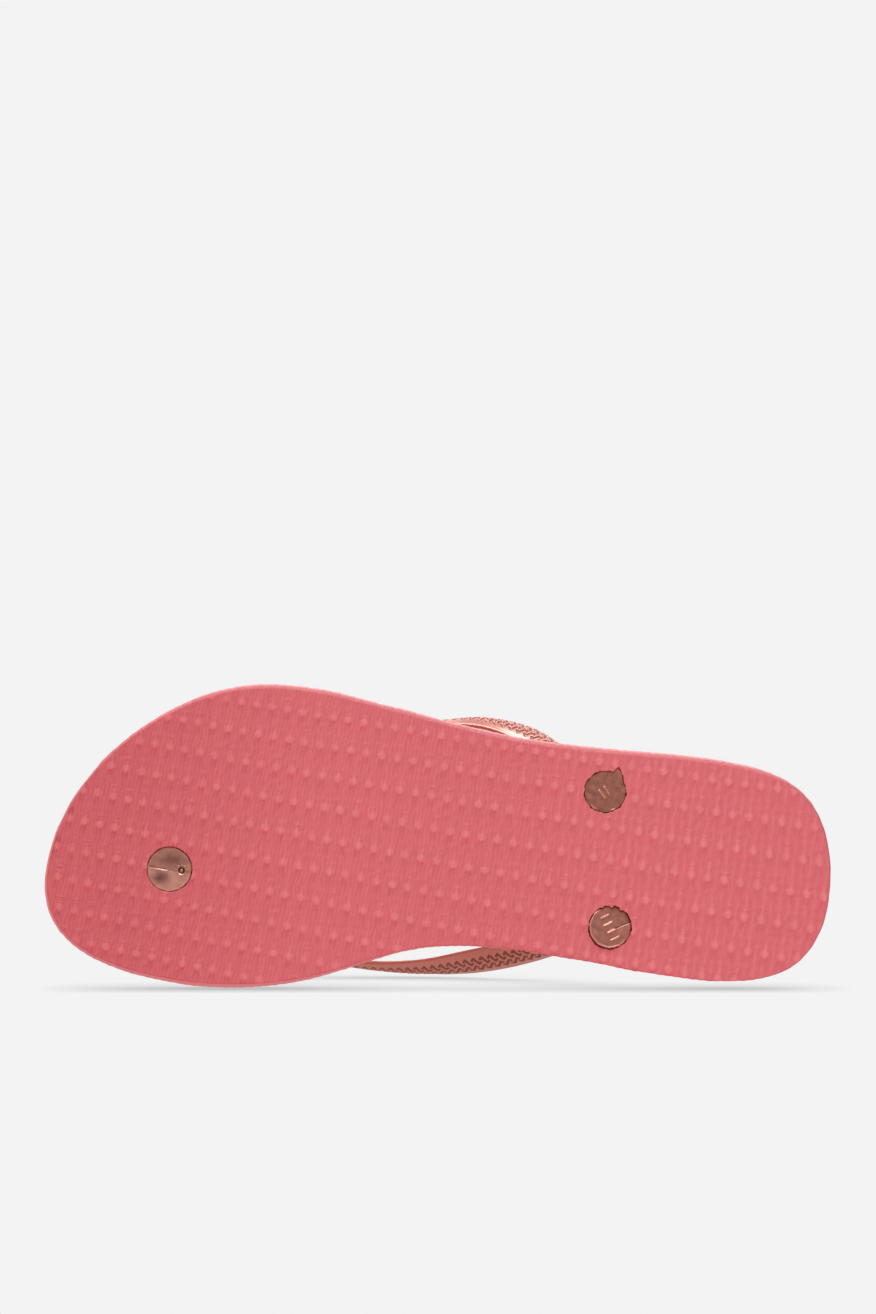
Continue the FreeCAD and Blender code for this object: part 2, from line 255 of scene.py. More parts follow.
class Shell:
    """Collects points, faces and one painted value for each point, then makes a mesh."""

    def __init__(self):
        self.points, self.values, self.faces, self.count = [], [], [], 0

    def add(self, points, value):
        """Points of any array shape with their painted value. Returns their numbers."""
        points = np.asarray(points, dtype=float)
        shape = points.shape[:-1]
        numbers = self.count + np.arange(int(np.prod(shape))).reshape(shape)
        self.points.append(points.reshape(-1, 3))
        self.values.append(np.broadcast_to(value, shape).reshape(-1))
        self.count += numbers.size
        return numbers

    def grid(self, numbers, gone):
        """The quads of a grid of point numbers, without the cells that are gone."""
        corners = (numbers[:-1, :-1], numbers[1:, :-1], numbers[1:, 1:], numbers[:-1, 1:])
        self.faces.append(np.stack(corners, axis=-1)[~gone])

    def skirt(self, start, rings, value):
        """Closed rings of points, each joined to the last. Returns the last ring's numbers."""
        for ring in rings:
            numbers = self.add(ring, value)
            self.faces.append(strip(start, numbers))
            start = numbers
        return start

    def cap(self, ring, hub, value):
        """A fan of triangles from a closed ring of point numbers to one point."""
        number = self.add(np.reshape(hub, (1, 3)), value)
        self.faces.append(np.stack([ring, np.roll(ring, -1), np.full(len(ring), number[0])], axis=1))

    def fill(self, loops):
        """Triangles that fill the flat area between an outer loop and the loops inside it."""
        points = np.concatenate(self.points)
        work = bpy.data.meshes.new("fill")
        flat = np.concatenate(loops)
        edges, start = [], 0
        for loop in loops:
            edges += [(start + k, start + (k + 1) % len(loop)) for k in range(len(loop))]
            start += len(loop)
        work.from_pydata([tuple(p) for p in points[flat]], edges, [])
        cover = bmesh.new()
        cover.from_mesh(work)
        bmesh.ops.triangle_fill(cover, edges=cover.edges[:], use_beauty=False)
        cover.verts.index_update()
        self.faces.append(np.array([[flat[v.index] for v in f.verts] for f in cover.faces]))
        cover.free()
        bpy.data.meshes.remove(work)

    def make(self, name, attribute):
        points = np.concatenate(self.points)
        values = np.concatenate(self.values)
        used = np.zeros(len(points), dtype=bool)
        for block in self.faces:
            used[block.ravel()] = True
        renumber = np.cumsum(used) - 1
        faces = [renumber[block] for block in self.faces]
        piece = new_mesh(name, points[used], faces)
        paint(piece, attribute, values[used])
        return piece


def with_height(plan, height):
    """Plan points raised to a height, which is one number or one for each point."""
    height = np.broadcast_to(height, plan.shape[:-1])
    return np.concatenate([plan, height[..., None]], axis=-1)


def outward(loop, reach=3):
    """Unit vectors out of a closed plan loop, square to the line between each point's neighbours."""
    tangent = np.roll(loop, -reach, axis=0) - np.roll(loop, reach, axis=0)
    tangent /= np.maximum(np.linalg.norm(tangent, axis=1), 1e-9)[:, None]
    normal = np.stack([tangent[:, 1], -tangent[:, 0]], axis=1)
    area = np.sum(loop[:, 0] * np.roll(loop[:, 1], -1) - loop[:, 1] * np.roll(loop[:, 0], -1))
    return normal if area > 0 else -normal


def wall_rings(loop, depth, profile):
    """Rings along a layer's uneven cut wall, from (share of the depth outwards, height) pairs."""
    step = outward(loop) * (depth + edge_waver(loop)[:, None])
    return [with_height(loop + step * share, z) for share, z in profile]


def circle_like(rim, centre, radius):
    """The rim's points moved onto a circle, each keeping its direction from the centre."""
    away = rim - centre
    return centre + away / np.linalg.norm(away, axis=1)[:, None] * radius


# ---- outsole

DOT_PITCH = 5.385     # mm, from dot to dot along a row
ROW_PITCH = 10.32     # mm, from row to row
FIRST_DOT = np.array([27.46, 69.25])   # mm, one dot near the lateral edge of the heel
RIBS_PER_DOT = 4      # fine cross ribs from one dot's column to the next
TEAR = 2.6            # mm, how far the rubber has torn beside the lateral head
RECESS_DEPTH = 3.6 * MM


def moulded_place(x, y):
    """Where a point of the sole lies in the pattern: columns and rows counted from a dot.

    The calendered sheet is stretched a little: its rows fan out and bow towards the heel.
    """
    u, v = x / 100, y / 100
    fan = u * (3.58 + 4.53 * v - 1.91 * u - 1.24 * u * v - 14.4 * u * u)
    sag = u * (-1.95 - 3.14 * v - 1.05 * u - 0.43 * u * v + 3.85 * u * u)
    flat_x = x - (-0.97 + 0.26 * v + 1.08 * v * v + fan)
    flat_y = y - (-0.24 - 0.14 * v + 1.83 * v * v + sag)
    away = np.stack([flat_x, flat_y], axis=-1) - FIRST_DOT
    return away @ ALONG / DOT_PITCH, away @ ACROSS / ROW_PITCH


def ridges(turns):
    """A regular row of ridges: 1 at every whole turn and 0 halfway between."""
    return 0.5 + 0.5 * np.cos(2 * math.pi * turns)


def ground_relief(plan):
    """Height of the relief, from 0 for the bare surface to 1 for a dot's top, and its colour value:
    paler on raised relief and darker in its hollows.
    """
    x, y = plan[..., 0] / MM, plan[..., 1] / MM
    column, row = moulded_place(x, y)
    k = np.floor(row + 0.14)
    up = (row - k) * ROW_PITCH
    lane = column - k / 2
    dot = np.round(lane)
    side = (lane - dot) * DOT_PITCH
    chance, other_chance = cell_noise(k * 31 + dot, 1), cell_noise(k * 17 + dot, 2)
    strength = 0.7 + 0.3 * chance

    blob = 1 - smoothstep(0.5, 1.1, np.hypot(side / 1.6, (up + 0.1) / 1.5))
    tail_width = np.clip(1.5 - 0.36 * up, 0.35, 1.5)
    tail = (1 - smoothstep(0.4, 1.0, np.abs(side) / tail_width)) * smoothstep(-0.5, 0.5, up)
    tail *= 1 - smoothstep(0.6, 3.3, up)
    strokes = np.zeros_like(up)
    rough_end = smoothstep(-40, -110, y)
    for number, chosen in enumerate((chance, other_chance, 1 - chance)):
        level = 2.0 + 0.85 * number + 0.3 * chosen
        bar = (1 - smoothstep(0.6, 1.0, np.abs(side) / 1.2)) * bump(up - level, 0.36)
        strokes = np.maximum(strokes, bar * smoothstep(0.5, 0.95, chosen + 0.45 * rough_end))
    stripe = (1 - smoothstep(0.4, 1.0, np.abs(side) / 1.3)) * smoothstep(2, 4, up)
    stripe *= 1 - smoothstep(7.5, 9.3, up)
    hollow_side = DOT_PITCH / 2 - np.abs(side)
    hollow = (1 - smoothstep(0.3, 1.0, hollow_side / 1.6)) * bump(up - 7.95, 2.6)

    wander = 0.05 * wave_noise(x, y, 8, 3)
    ribs = ridges((column + wander) * RIBS_PER_DOT) ** 1.6
    ribs += smoothstep(5, 70, y) * (0.8 * ridges((column + wander) * RIBS_PER_DOT / 2) - 0.6 * ribs)
    ribs *= 0.6 + 0.4 * np.clip(0.5 + wave_noise(x, y, 9, 4), 0, 1)
    grain = wave_noise(x, y, 2.2, 5, waves=20)

    low = 0.08 + 0.3 * ribs + 0.04 * stripe - 0.06 * hollow + 0.05 * grain
    high = strength * np.maximum.reduce([blob, 0.65 * tail, strokes])
    height = np.clip(low + (1 - low) * high, 0, 1)
    # Painted shade: the sole's colour darkens towards the toe and lightens a little towards the heel,
    # standing in for light that falls off along the sole.
    painted_toe_shade = 0.2 * smoothstep(-30, -115, y) - 0.03 * smoothstep(20, 90, y)
    # Painted light: raised dots, ribs, the stripe and grain are painted paler, partly rubbed smooth
    # rubber and partly a painted highlight; hollows and the valleys between ribs are painted darker, a
    # painted shade.
    polish_and_painted_light = 0.41 + 0.35 * high + 0.03 * stripe - 0.14 * hollow + 0.18 * (ribs - 0.4) + 0.08 * grain
    return height, np.clip(polish_and_painted_light - painted_toe_shade, 0, 1)


def recess_edge(name, angle):
    """How far a recess reaches past its plug's radius at an angle: ragged, torn or biting."""
    ragged = 0.10 * np.sin(9 * angle + 1) + 0.07 * np.sin(17 * angle) + 0.05 * np.sin(29 * angle)
    if name == "toe_plug":
        extra = 0.16 + 0.12 * np.sin(angle + 1) + 0.3 * ragged
    elif name == "lateral_plug":
        extra = 0.1 + 1.2 * ragged + TEAR * tear(angle - ROW_SLOPE)
    else:
        gap = 0.4 * bump(angle + 2.0, 1.4)
        extra = 0.24 + ragged - teeth(angle - ROW_SLOPE) + gap
    return extra * MM


def tear(angle):
    """Share of the tear's length at each angle from the heel side round to the lateral side."""
    return np.clip((angle - 0.58) / 0.55, 0, 1) * (1 - smoothstep(1.1, 1.26, angle))


def teeth(angle):
    """How far the rubber bites into the medial head's rim, in mm, at an angle of its face."""
    return 0.9 * np.maximum(0, np.sin(13 * angle + 0.3)) ** 2 * bump(angle - 1.35, 1.0)


def edge_waver(loop):
    """Slight unevenness of the die-cut edge, in metres outwards, for each point of a loop."""
    x, y = loop[:, 0] / MM, loop[:, 1] / MM
    column, _ = moulded_place(x, y)
    ripple = 2 * ridges(column * RIBS_PER_DOT / 2) - 1
    slow = wave_noise(x, y, 16, 8)
    return (0.10 * slow + 0.05 * ripple + 0.05 * wave_noise(x, y, 4, 9)) * MM


def make_outsole(spacing, rows):
    """The lower layer: relief below, a cut wall, recesses for the heads and holes for the stems."""
    edge = 0.35 * MM
    plan = column_grid(outline("outsole", 0, inset=edge), spacing, rows)
    plan, gone, rims = open_holes(plan, PLUG_RADIUS, recess_edge)
    height, polish_and_painted_light = ground_relief(plan)
    lip = np.zeros(plan.shape[:2])
    for name, centre in PLUGS.items():
        away = np.linalg.norm(plan - centre, axis=2) - PLUG_RADIUS[name]
        lip = np.maximum(lip, bump(away - 0.5 * MM, 0.7 * MM))
    height = np.clip(height + 0.25 * lip, 0, 1)

    shell = Shell()
    numbers = shell.add(with_height(plan, RELIEF * (1 - height)), polish_and_painted_light)
    shell.grid(numbers, gone)
    outer = border(plan.shape[:2])
    wall = [(0.25, 1.15 * RELIEF), (0.4, 1.6 * RELIEF), (0.5, 2.4 * RELIEF), (0.7, 0.4 * SEAM_Z),
            (0.85, 0.7 * SEAM_Z), (1.0, SEAM_Z - 0.06 * MM), (0.97, SEAM_Z)]
    # Painted shade: the outsole's cut wall is painted dark, which holds the brightly lit wall near the
    # colour of the face.
    loops = [shell.skirt(numbers[outer], wall_rings(plan[outer], edge, wall), 0.1)]
    for name, rim in rims.items():
        lip_line = plan[rim]
        side = circle_like(lip_line, PLUGS[name], PLUG_RADIUS[name] + 0.35 * MM)
        hole = circle_like(lip_line, PLUGS[name], STEM_HOLE)
        # Painted shade: the recess's lip and walls are painted darker than the face.
        start = shell.skirt(numbers[rim], [with_height(lip_line, 1.3 * MM)], 0.3)
        loops.append(shell.skirt(start, [
            with_height(side, 1.7 * MM),
            with_height(side, RECESS_DEPTH),
            with_height(hole, RECESS_DEPTH),
            with_height(hole, SEAM_Z),
        ], 0.2))
    shell.fill(loops)
    return shell.make("outsole_ribbed", "polish_and_painted_light")


# ---- footbed


def grain_relief(plan):
    """The footbed's moulded grain: short raised ricelike grains, in metres, and their colour value,
    paler on the raised grains as a painted highlight.
    """
    x, y = plan[..., 0] / MM, plan[..., 1] / MM
    column, row = x / 2.6, y / 2.0
    lane = np.floor(row)
    shift = column + 0.5 * (lane % 2)
    cell = np.floor(shift)
    side = (shift - cell - 0.5) * 2.6
    up = (row - lane - 0.5) * 2.0
    lean = 0.9 * (cell_noise(cell * 13 + lane * 7, 3) - 0.5) + 0.5
    long_way = side * np.cos(lean) + up * np.sin(lean)
    short_way = up * np.cos(lean) - side * np.sin(lean)
    grain = 1 - smoothstep(0.45, 1.0, np.hypot(long_way / 1.15, short_way / 0.62))
    fine = wave_noise(x, y, 1.8, 12, waves=20)
    return (0.2 * grain + 0.02 * fine) * MM, 0.36 + 0.42 * grain + 0.05 * fine


def make_footbed(spacing, rows):
    """The upper layer: a grained top inside a smooth margin, a rounded rim and a cut wall."""
    rounding, margin, hole = 1.2 * MM, 2.2 * MM, 3.35 * MM
    surface = TOP_Z - 0.2 * MM
    loop = outline("footbed", SEAM_Z, inset=rounding)
    plan, gone, rims = open_holes(
        column_grid(loop, spacing, rows), dict.fromkeys(PLUGS, hole), lambda name, angle: 0)
    grain, polish_and_painted_light = grain_relief(plan)
    edge = np.ones(plan.shape[:2])
    block_size = 64
    for start in range(0, len(plan), block_size):
        block = plan[start:start + block_size].reshape(-1, 1, 2)
        gap = np.linalg.norm(block - loop[None, ::6], axis=2).min(axis=1)
        edge[start:start + block_size] = gap.reshape(-1, plan.shape[1])
    inside = smoothstep(margin, margin + 0.6 * MM, edge)
    groove = bump(edge - margin, 0.7 * MM)
    dimple = np.zeros(plan.shape[:2])
    for centre in PLUGS.values():
        dimple += bump(np.linalg.norm(plan - centre, axis=2) - hole, 2.4 * MM)
    height = surface + grain * inside - 0.18 * MM * groove - 0.12 * MM * dimple

    shell = Shell()
    numbers = shell.add(with_height(plan, height), np.where(inside > 0.5, polish_and_painted_light, 0.5))
    shell.grid(numbers, gone)
    outer = border(plan.shape[:2])
    leans = [math.radians(turn) for turn in (25, 50, 75, 90)]
    wall = [(math.sin(lean), surface - rounding * (1 - math.cos(lean))) for lean in leans]
    depth = TOP_Z - rounding - SEAM_Z
    wall += [(1.0, SEAM_Z + share * depth) for share in (0.75, 0.5, 0.25)]
    wall += [(1.0, SEAM_Z + 0.06 * MM), (0.98, SEAM_Z)]
    # Painted light: the footbed's rim and cut wall are painted pale, a painted highlight along the lit
    # edge and on the ledge that the outsole shades.
    loops = [shell.skirt(numbers[outer], wall_rings(plan[outer], rounding, wall), 0.9)]
    for name, rim in rims.items():
        line = circle_like(plan[rim], PLUGS[name], STEM_HOLE)
        rings = [with_height(line, z) for z in (TOP_Z - 1.2 * MM, SEAM_Z)]
        # Painted shade: the walls of the stem holes are painted dark.
        loops.append(shell.skirt(numbers[rim], rings, 0.2))
    shell.fill(loops)
    return shell.make("footbed_grained", "polish_and_painted_light")


# ---- plugs


def spot(x, y, x_0, y_0, width, height):
    """1 in the middle of an oval, falling smoothly to 0 at its edge."""
    return bump(np.hypot((x - x_0) / width, (y - y_0) / height), 1.0)


def tally(x, y, shifts, width, length, turn):
    """1 on a row of plain short bars, turned and each shifted along the row, and 0 beside them."""
    along = x * math.cos(turn) + y * math.sin(turn)
    across = np.abs(y * math.cos(turn) - x * math.sin(turn))
    bars = [1 - smoothstep(0.6 * width, width, np.abs(along - shift)) for shift in shifts]
    return np.maximum.reduce(bars) * (1 - smoothstep(0.9 * length, 1.15 * length, across))


def toe_face(x, y, worn, mottle):
    """A dish with a parting line and, towards the heel, the ring of a sprue mark and its rays; its
    tone holds painted shade and highlights that stand in for light on the dish.
    """
    far = np.hypot(x, y)
    sprue_x, sprue_y = 4.1, -0.3
    level = y + 0.39 + 0.16 * x
    fade = smoothstep(2.0, -0.4, x) * smoothstep(-7.3, -6.5, x)
    sprue = np.hypot(x - sprue_x, y - sprue_y)
    rays = np.sin(9 * np.arctan2(y - sprue_y, x - sprue_x)) * bump(sprue - 2.0, 1.0)
    relief = -0.85 * (1 - far / 7.5) + worn + 0.06 * rays
    relief += (0.07 * bump(level + 0.5, 0.45) - 0.15 * bump(level, 0.35)) * fade
    relief += 0.2 * bump(sprue - 1.6, 0.6) - 0.6 * bump(sprue - 0.78, 0.36)
    # Painted shade: the dish is darker on the far side of the parting line and paler on the near side,
    # as light falls into it; the raised rays get a painted highlight.
    tone = 0.66 - 0.24 * smoothstep(-0.4, 0.8, level) + 0.08 * mottle + 0.1 * rays
    # Painted highlight along the parting line's ridge and painted shade in its groove.
    tone += (0.12 * bump(level + 0.45, 0.4) - 0.45 * bump(level - 0.1, 0.35)) * fade
    tone -= 0.3 * spot(x, y, 1.0, 3.2, 6.0, 3.0) + 0.62 * spot(x, y, -2.6, -3.0, 5.0, 3.4)
    # Paler towards the rim, and painted shade in the groove round the sprue mark.
    tone += 0.15 * smoothstep(5.8, 7.2, far) - 0.7 * bump(sprue - 0.85, 0.45)
    return relief, tone + 0.2 * bump(sprue, 0.45) + 0.15 * spot(x, y, 1.0, -3.5, 3.5, 3.0)


def lateral_face(x, y, worn, mottle):
    """A nearly flat face with two bars, moulding flash at its rim with a painted highlight on it, and
    a pale torn edge.
    """
    far, angle = np.hypot(x, y), np.arctan2(y, x)
    marks = tally(x + 0.2, y + 0.3, (-1.0, 1.0), 0.42, 1.8, 0.65)
    flash = bump(far - 6.5, 0.5) * (bump(angle + 1.1, 0.22) + bump(angle + 2.2, 0.25))
    relief = 0.06 * bump(far, 6.5) + 0.26 * marks + 0.2 * flash + 1.6 * worn
    # Painted highlights: the raised bars and the flash bits are painted pale.
    tone = 0.42 + 0.16 * mottle + 0.6 * marks + 0.9 * flash
    tone += 0.5 * tear(angle) * smoothstep(6.0, 6.9, far)
    return relief, tone + 0.1 * wave_noise(x, y, 0.9, 24, waves=18)


def medial_face(x, y, worn, mottle):
    """Four bars, a cut from the middle to the rim with a raised wedge beside it, and a rim with a
    painted highlight on its proud toe and medial side.
    """
    far, angle = np.hypot(x, y), np.arctan2(y, x)
    level = y + 0.4 - 0.477 * (x - 1.9)
    from_middle = smoothstep(1.2, 2.2, x)
    wedge = smoothstep(0.15, -0.15, level) * smoothstep(1.0, 3.0, x) * smoothstep(-4.5, -2, y)
    marks = tally(x, y + 0.4, (-4.2, -1.5, 1.2, 3.9), 0.45, 1.6, math.radians(-62))
    rim = smoothstep(6.2, 6.7, far) * np.clip(np.cos(angle + 2.2) + 0.35, 0, 1)
    relief = 0.1 * wedge + 0.26 * marks + worn + 0.12 * rim - 0.28 * bump(level, 0.25) * from_middle
    # Painted highlights on the raised bars and on the rim's proud side; the raised wedge is a little
    # paler.
    tone = 0.45 + 0.12 * mottle + 0.36 * marks + 0.75 * rim + 0.12 * wedge
    # Painted shade down in the cut.
    return relief, tone - 0.9 * bump(level, 0.4) * from_middle


PLUG_FACES = {"toe_plug": toe_face, "lateral_plug": lateral_face, "medial_plug": medial_face}
HEAD_THICK = {"toe_plug": 2.4 * MM, "lateral_plug": 2.7 * MM, "medial_plug": 1.9 * MM}


def plug_face(name, x, y):
    """A head's face: its relief in mm and its tone from 0 to 1, which holds painted highlights and
    painted shade, with x towards the heel, y lateral.
    """
    mottle = wave_noise(x, y, 2.6, 23, waves=18)
    worn = 0.02 * wave_noise(x, y, 3, 21, waves=18) + 0.008 * wave_noise(x, y, 0.8, 22, waves=18)
    return PLUG_FACES[name](x, y, worn, mottle)


def make_plug(name, face_z, tilt):
    """A mushroom plug: a detailed face, a rounded rim, the head's wall, and the stem."""
    size = PLUG_RADIUS[name] / MM
    centre, thick = PLUGS[name], HEAD_THICK[name]
    turns, rings = 150, 64
    angle = np.linspace(0, 2 * math.pi, turns, endpoint=False)
    far = size * np.sqrt(np.linspace(0.0002, 1, rings))[:, None]
    ring_x, ring_y = np.cos(angle), np.sin(angle)
    ragged = 0.008 * np.sin(11 * angle) + 0.006 * np.sin(23 * angle + 1)
    if name == "lateral_plug":
        ragged = ragged + 0.85 * TEAR / size * tear(angle)
    if name == "medial_plug":
        ragged = ragged - teeth(angle) / size
    stretch = 1 + ragged * smoothstep(0.7, 1.0, far / size)
    relief, shade = plug_face(name, far * ring_x, far * ring_y)
    relief = relief - 0.22 * smoothstep(size - 0.45, size, far) ** 2

    def head_points(away, depth):
        """Rings of the tipped head, at distances in mm from its middle and a depth in metres."""
        towards_heel, lateral = away * ring_x * MM, away * ring_y * MM
        slope = -(towards_heel + lateral) / math.sqrt(2) * math.tan(tilt)
        plan = centre + np.stack([lateral, towards_heel], axis=-1)
        return with_height(plan, face_z + depth - slope)

    shell = Shell()
    shade = np.clip(shade, 0, 1)
    face = shell.add(head_points(far * stretch, -relief * MM), shade)
    shell.faces.append(strip_rows(face))
    shell.cap(face[0], [*centre, face_z - relief[0].mean() * MM], shade[0].mean())
    outer, stem = size * (1 + ragged), STEM_RADIUS / MM + 0 * ragged
    rim = ((outer, 0.47 * MM), (outer, 0.6 * thick), (outer, thick), (stem, thick))
    start = shell.skirt(face[-1], [head_points(away, depth) for away, depth in rim], 0.35)
    line = centre + STEM_RADIUS * np.stack([ring_y, ring_x], axis=-1)
    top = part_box(name)[1].z - 0.02 * MM
    stem_rings = [with_height(line, z) for z in (3.8 * MM, TOP_Z - 1.2 * MM, top)]
    shell.cap(shell.skirt(start, stem_rings, 0.35), [*centre, top], 0.35)
    return shell.make(f"{name}_moulded", "shade")


def dress_stem(plug, vinyl):
    """Give the part of a plug that stands out of the footbed the strap's own vinyl."""
    plug.data.materials.append(vinyl)
    for polygon in plug.data.polygons:
        if polygon.center.z > TOP_Z - 1 * MM:
            polygon.material_index = 1


# ---- strap

# Each arm from its rear plug to the toe post, as in the CAD model: the middle of the band, its
# width and thickness in mm, and how far its outer face looks up in degrees.
LATERAL_ARM = [
    (20.7, 53.8, 18.6, 6.2, 5.0, -10),
    (23.7, 49.6, 23.0, 7.4, 4.6, -18),
    (30.2, 40.5, 29.0, 9.2, 3.6, -28),
    (36.1, 29.0, 35.5, 10.6, 3.2, -31),
    (39.4, 14.0, 41.0, 10.8, 3.2, -9),
    (36.9, -4.0, 45.0, 10.6, 3.2, 19),
    (31.4, -24.0, 46.0, 10.2, 3.2, 30),
    (22.6, -45.0, 44.0, 9.6, 3.2, 40),
    (10.6, -66.0, 40.0, 8.8, 3.3, 58),
    (-2.5, -82.0, 35.6, 7.8, 3.6, 76),
    (-11.0, -88.6, 33.0, 6.6, 3.6, 88),
]
MEDIAL_ARM = [
    (-25.7, 57.6, 18.6, 6.2, 5.0, -10),
    (-29.6, 52.6, 23.0, 7.4, 4.6, -26),
    (-34.0, 42.5, 29.0, 9.8, 3.6, -48),
    (-38.7, 29.0, 35.5, 11.3, 3.2, -54),
    (-42.9, 14.0, 40.0, 11.2, 3.2, -50),
    (-46.1, -4.0, 43.5, 10.2, 3.2, -28),
    (-45.9, -23.0, 44.5, 9.6, 3.2, -4),
    (-42.3, -44.0, 43.5, 9.4, 3.2, 22),
    (-33.2, -64.0, 40.0, 8.8, 3.3, 48),
    (-21.0, -81.0, 35.6, 7.8, 3.6, 72),
    (-14.0, -88.6, 33.0, 6.6, 3.6, 88),
]
HOOK_PITCH = 2.95    # mm, from one moulded hook to the next along an arm
GROOVE_DEPTH = 0.55  # mm
EDGE_SHARE = 0.275   # radius of the band's round edges, as a share of its thickness
CROWN_SHARE = 0.45   # how far its outer face bulges, as a share of its thickness


def smooth_rows(rows, step):
    """A smooth curve through rows of numbers whose first three are a place, evenly stepped."""
    rows = np.asarray(rows, dtype=float)
    gaps = np.linalg.norm(np.diff(rows[:, :3], axis=0), axis=1)
    knots = np.concatenate([[0], np.cumsum(gaps)])
    slopes = np.gradient(rows, knots, axis=0)
    count = int(round(knots[-1] / step)) + 1
    at = np.linspace(0, knots[-1], count)
    k = np.clip(np.searchsorted(knots, at, side="right") - 1, 0, len(knots) - 2)
    span = (knots[k + 1] - knots[k])[:, None]
    part = ((at - knots[k])[:, None]) / span
    return (
        rows[k] * (1 + 2 * part) * (1 - part) ** 2
        + slopes[k] * span * part * (1 - part) ** 2
        + rows[k + 1] * part * part * (3 - 2 * part)
        + slopes[k + 1] * span * part * part * (part - 1)
    )


def hooks(s, w):
    """Depth share of the moulded grooves: two mirrored rows of slanting hooks.

    s runs along the arm and w across it from its middle, both in mm.
    """
    path = [(2.45, 2.1), (1.75, 2.85), (0.1, 0.35), (-0.6, 0.95)]   # one hook's corners
    near = np.full_like(s, 9.0)
    for row, shift in ((-1, 0.0), (1, 0.5 * HOOK_PITCH)):
        base = (s - shift) % HOOK_PITCH
        for turn in (-1, 0, 1):
            here = base - turn * HOOK_PITCH
            for (s0, w0), (s1, w1) in zip(path[:-1], path[1:]):
                ds, dw = s1 - s0, row * (w1 - w0)
                part = np.clip(((here - s0) * ds + (w - row * w0) * dw) / (ds * ds + dw * dw), 0, 1)
                near = np.minimum(near, np.hypot(here - s0 - part * ds, w - row * w0 - part * dw))
    return 1 - smoothstep(0.2, 0.5, near)


def arm_frames(side, rows):
    """The directions out of the band's face and up across it, at each step of an arm."""
    along = np.gradient(rows[:, :3], axis=0)
    along /= np.linalg.norm(along, axis=1)[:, None]
    up = np.array([0.0, 0.0, 1.0])
    flat = np.cross(along, up)
    flat /= np.linalg.norm(flat, axis=1)[:, None]
    flat *= np.where(flat[:, :1] * side < 0, -1, 1)
    rise = up - along * along[:, 2:]
    rise /= np.linalg.norm(rise, axis=1)[:, None]
    level = np.radians(rows[:, 5])[:, None]
    return flat * np.cos(level) + rise * np.sin(level), rise * np.cos(level) - flat * np.sin(level)


def make_arm(name, side, stations, step, across_steps, swell=0.0, part=(0.0, 1.0), relief=True):
    """One arm: a D section, crowned and patterned outside and plain inside, swept along it.

    swell makes the section larger all round, in mm, and part is the stretch of the arm to make.
    """
    rows = smooth_rows(stations, step)
    first, last = (int(round(share * (len(rows) - 1))) for share in part)
    outwards, across = arm_frames(side, rows)
    rows, outwards, across = (block[first:last + 1] for block in (rows, outwards, across))
    length = step * len(rows)
    half, thick = rows[:, 3:4] / 2 + swell, rows[:, 4:5] + 2 * swell
    edge, inner = thick * EDGE_SHARE, -thick / 2
    lean = np.linspace(-math.pi / 2, math.pi / 2, 7)[None, 1:-1]
    outer_share = np.linspace(1, -1, across_steps)[None]
    inner_share = np.linspace(-1, 1, 9)[None]
    flat_half = half - edge
    crown = CROWN_SHARE * thick * (1 - outer_share ** 2)
    w = np.concatenate([
        inner_share * flat_half, flat_half + edge * np.cos(lean),
        outer_share * flat_half, -flat_half - edge * np.cos(lean)], axis=1)
    out = np.concatenate([
        inner + 0 * inner_share, inner + edge + edge * np.sin(lean),
        inner + 2 * edge + crown, inner + edge - edge * np.sin(lean)], axis=1)
    start = inner_share.size + lean.size
    s = np.arange(len(rows))[:, None] * step + 0 * w
    groove = np.zeros_like(w)
    if relief:
        outside = slice(start - 2, start + across_steps + 2)
        depth = hooks(s, w) * smoothstep(5, 8, s) * smoothstep(8, 14, length - s)
        groove[:, outside] = depth[:, outside]
    out = out - GROOVE_DEPTH * groove + 0.03 * wave_noise(s, w * 1.3, 7, 31)
    points = rows[:, None, :3] + across[:, None] * w[..., None] + outwards[:, None] * out[..., None]
    shell = Shell()
    numbers = shell.add(points * MM, groove)
    shell.faces.append(strip_rows(numbers))
    for end in (0, -1):
        shell.cap(numbers[end], points[end].mean(axis=0) * MM, 0)
    return shell.make(name, "groove")


def stub(side, stations, part):
    """A plain stretch of an arm, a little thinner than the arm, to melt into its neighbour."""
    return make_arm("stub", side, stations, 0.6, 16, swell=-0.06, part=part, relief=False)


def lathe(name, centre, profile, turns=72):
    """A closed turned shape over the strap's foot, from (radius, height) pairs in mm."""
    angle = np.linspace(0, 2 * math.pi, turns, endpoint=False)
    spokes = np.stack([np.cos(angle), np.sin(angle)], axis=1)
    rings = [with_height(centre + spokes * radius * MM, STRAP_FOOT + height * MM)
             for radius, height in profile]
    shell = Shell()
    first = shell.add(rings[0], 0)
    last = shell.skirt(first, rings[1:], 0)
    for ring, points in ((first, rings[0]), (last, rings[-1])):
        shell.cap(ring, points.mean(axis=0), 0)
    return shell.make(name, "groove")


def melt(pieces, voxel, rounds):
    """Join the pieces into the first of them, and melt them into one smooth form."""
    whole = pieces[0]
    with_all = bpy.context.copy()
    with_all.update(active_object=whole, selected_editable_objects=pieces, selected_objects=pieces)
    with bpy.context.temp_override(**with_all):
        bpy.ops.object.join()
    remesh = whole.modifiers.new("melt", "REMESH")
    remesh.mode = "VOXEL"
    remesh.voxel_size = voxel
    soften = whole.modifiers.new("soften", "SMOOTH")
    soften.factor = 0.5
    soften.iterations = rounds
    graph = bpy.context.evaluated_depsgraph_get()
    melted = bpy.data.meshes.new_from_object(whole.evaluated_get(graph))
    whole.modifiers.clear()
    whole.data = melted
    for polygon in melted.polygons:
        polygon.use_smooth = True
    paint(whole, "groove", np.zeros(len(melted.vertices)))
    return whole


